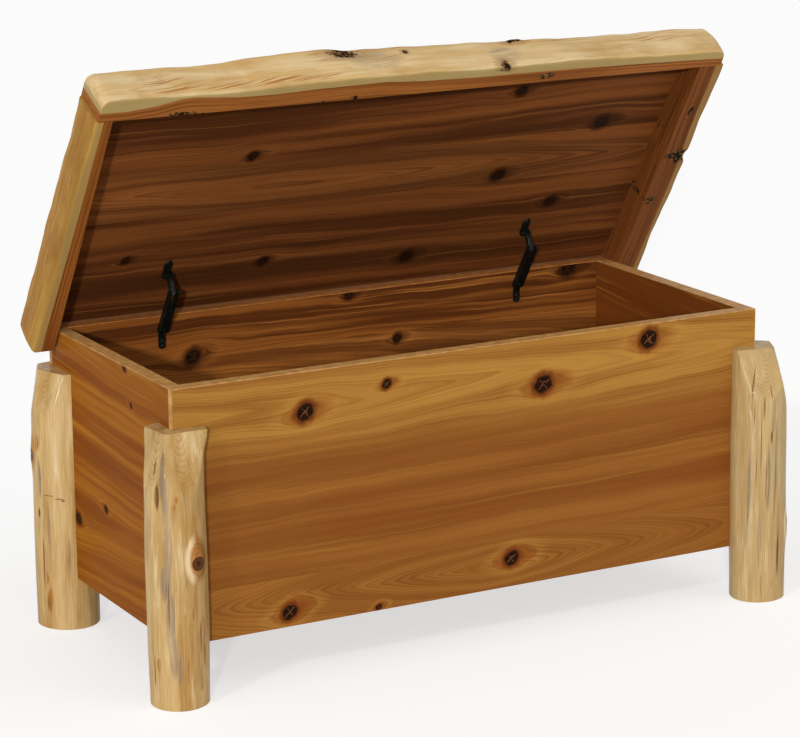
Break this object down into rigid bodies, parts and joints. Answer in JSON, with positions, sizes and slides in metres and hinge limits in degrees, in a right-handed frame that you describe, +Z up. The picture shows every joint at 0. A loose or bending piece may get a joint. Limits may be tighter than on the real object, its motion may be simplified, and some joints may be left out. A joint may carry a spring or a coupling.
{
  "type": "blanket chest",
  "caption": "Cedar blanket chest on notched log legs, with a hinged live-edge lid held open by folding stays.",
  "frame": {"origin": "on the floor, under the middle of the chest", "axes": "+X to the right as seen from the front, -Y towards the front, +Z up"},
  "size_m": [1.2232, 0.5872, 0.9969],
  "materials": {
    "gold_cedar": "satin varnish over golden knotty cedar",
    "red_cedar": "satin varnish over dark red cedar",
    "edging": "pale edging, satin",
    "peeled_log": "satin varnish over pale peeled cedar log",
    "live_edge": "satin varnish over a live-edge slab, pale sapwood outside",
    "hinge_brass": "dull brass plate",
    "zinc_steel": "zinc plate",
    "black_steel": "black, half matt"
  },
  "bodies": {
    "chest": {"back_panel": "gold_cedar", "end_band_back_left": "edging", "end_band_back_right": "edging", "end_band_front_left": "edging", "end_band_front_right": "edging", "floor_cleat_front": "red_cedar", "floor_cleat_rear": "red_cedar", "floor_panel": "red_cedar", "front_panel": "gold_cedar", "hinge_leaf_box": "hinge_brass", "hinge_pin": "zinc_steel", "hinge_screw_box_1": "hinge_brass", "hinge_screw_box_2": "hinge_brass", "hinge_screw_box_3": "hinge_brass", "left_panel": "gold_cedar", "leg_front_left": "peeled_log", "leg_front_right": "peeled_log", "leg_rear_left": "peeled_log", "leg_rear_right": "peeled_log", "leg_screw_front_left_1": "zinc_steel", "leg_screw_front_left_2": "zinc_steel", "leg_screw_front_right_1": "zinc_steel", "leg_screw_front_right_2": "zinc_steel", "leg_screw_rear_left_1": "zinc_steel", "leg_screw_rear_left_2": "zinc_steel", "leg_screw_rear_right_1": "zinc_steel", "leg_screw_rear_right_2": "zinc_steel", "right_panel": "gold_cedar", "rim_band_back": "edging", "rim_band_front": "edging", "rim_band_left": "edging", "rim_band_right": "edging", "stay_base_pin_left": "black_steel", "stay_base_pin_right": "black_steel", "stay_bracket_left": "black_steel", "stay_bracket_right": "black_steel", "stay_bracket_screw_left_1": "black_steel", "stay_bracket_screw_left_2": "black_steel", "stay_bracket_screw_right_1": "black_steel", "stay_bracket_screw_right_2": "black_steel"},
    "lid": {"hinge_leaf_lid": "hinge_brass", "hinge_screw_lid_1": "hinge_brass", "hinge_screw_lid_2": "hinge_brass", "hinge_screw_lid_3": "hinge_brass", "lid_panel": "red_cedar", "lid_rail_front": "live_edge", "lid_rail_left": "live_edge", "lid_rail_right": "live_edge", "stay_foot_left": "black_steel", "stay_foot_pin_left": "black_steel", "stay_foot_pin_right": "black_steel", "stay_foot_right": "black_steel", "stay_foot_screw_left": "black_steel", "stay_foot_screw_right": "black_steel"},
    "stay_arm_left": {"stay_arm_left": "black_steel", "stay_elbow_pin_left": "black_steel"},
    "stay_channel_left": {"stay_channel_left": "black_steel"},
    "stay_arm_right": {"stay_arm_right": "black_steel", "stay_elbow_pin_right": "black_steel"},
    "stay_channel_right": {"stay_channel_right": "black_steel"}
  },
  "joints": [
    {"name": "lid_hinge", "type": "hinge", "parent": "chest", "child": "lid", "pos_m": [-0.00341, 0.27261, 0.51625], "axis": [-1, 0, 0], "range_deg": [-57.1, 0]},
    {"name": "stay_foot_left", "type": "hinge", "parent": "lid", "child": "stay_arm_left", "pos_m": [-0.36041, 0.21291, 0.59196], "axis": [-1, 0, 0], "range_deg": [0, 67.3]},
    {"name": "stay_base_left", "type": "hinge", "parent": "chest", "child": "stay_channel_left", "pos_m": [-0.36041, 0.23861, 0.49195], "axis": [-1, 0, 0], "range_deg": [-61.5, 0]},
    {"name": "stay_foot_right", "type": "hinge", "parent": "lid", "child": "stay_arm_right", "pos_m": [0.35359, 0.21291, 0.59196], "axis": [-1, 0, 0], "range_deg": [0, 67.3]},
    {"name": "stay_base_right", "type": "hinge", "parent": "chest", "child": "stay_channel_right", "pos_m": [0.35359, 0.23861, 0.49195], "axis": [-1, 0, 0], "range_deg": [-61.5, 0]}
  ],
  "couplings": [
    {"joint": "stay_foot_left", "follows": "lid_hinge", "ratio": -1.178},
    {"joint": "stay_base_left", "follows": "lid_hinge", "ratio": 1.077},
    {"joint": "stay_foot_right", "follows": "lid_hinge", "ratio": -1.178},
    {"joint": "stay_base_right", "follows": "lid_hinge", "ratio": 1.077}
  ]
}
